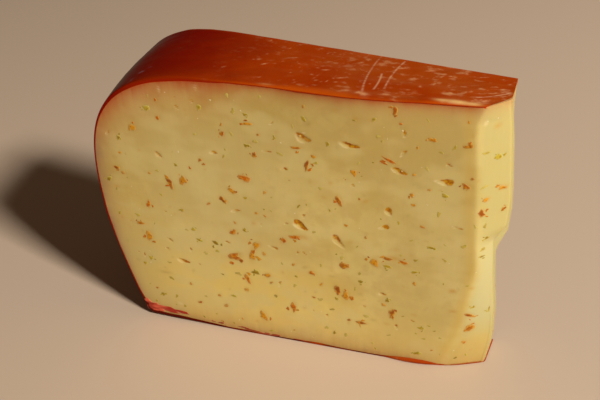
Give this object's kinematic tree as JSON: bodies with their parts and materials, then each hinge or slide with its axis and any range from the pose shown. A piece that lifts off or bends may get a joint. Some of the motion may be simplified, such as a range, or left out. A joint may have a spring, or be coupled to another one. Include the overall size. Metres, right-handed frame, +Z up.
{
  "type": "cheese wedge",
  "caption": "Upright wedge of semi-hard cheese with a round waxed rim, two flat cuts with small eyes and spice flakes, and a trimmed narrow end; stands on its flat foot.",
  "frame": {"origin": "on the surface that the wedge stands on, below the middle of its bounding box", "axes": "+X along the front cut from the round rim to the narrow end, +Y from the front cut to the back cut, +Z up"},
  "size_m": [0.145, 0.0456, 0.108],
  "materials": {
    "paste": "smooth cut cheese, faintly waxy, with small eyes and flakes",
    "wax": "thin glossy red-orange wax coat with light scuffs",
    "pepper_flakes": "dry rust-red pepper flakes",
    "herb_flakes": "dry olive herb flecks"
  },
  "bodies": {
    "root": {"cheese_wedge": "paste"}
  },
  "joints": []
}
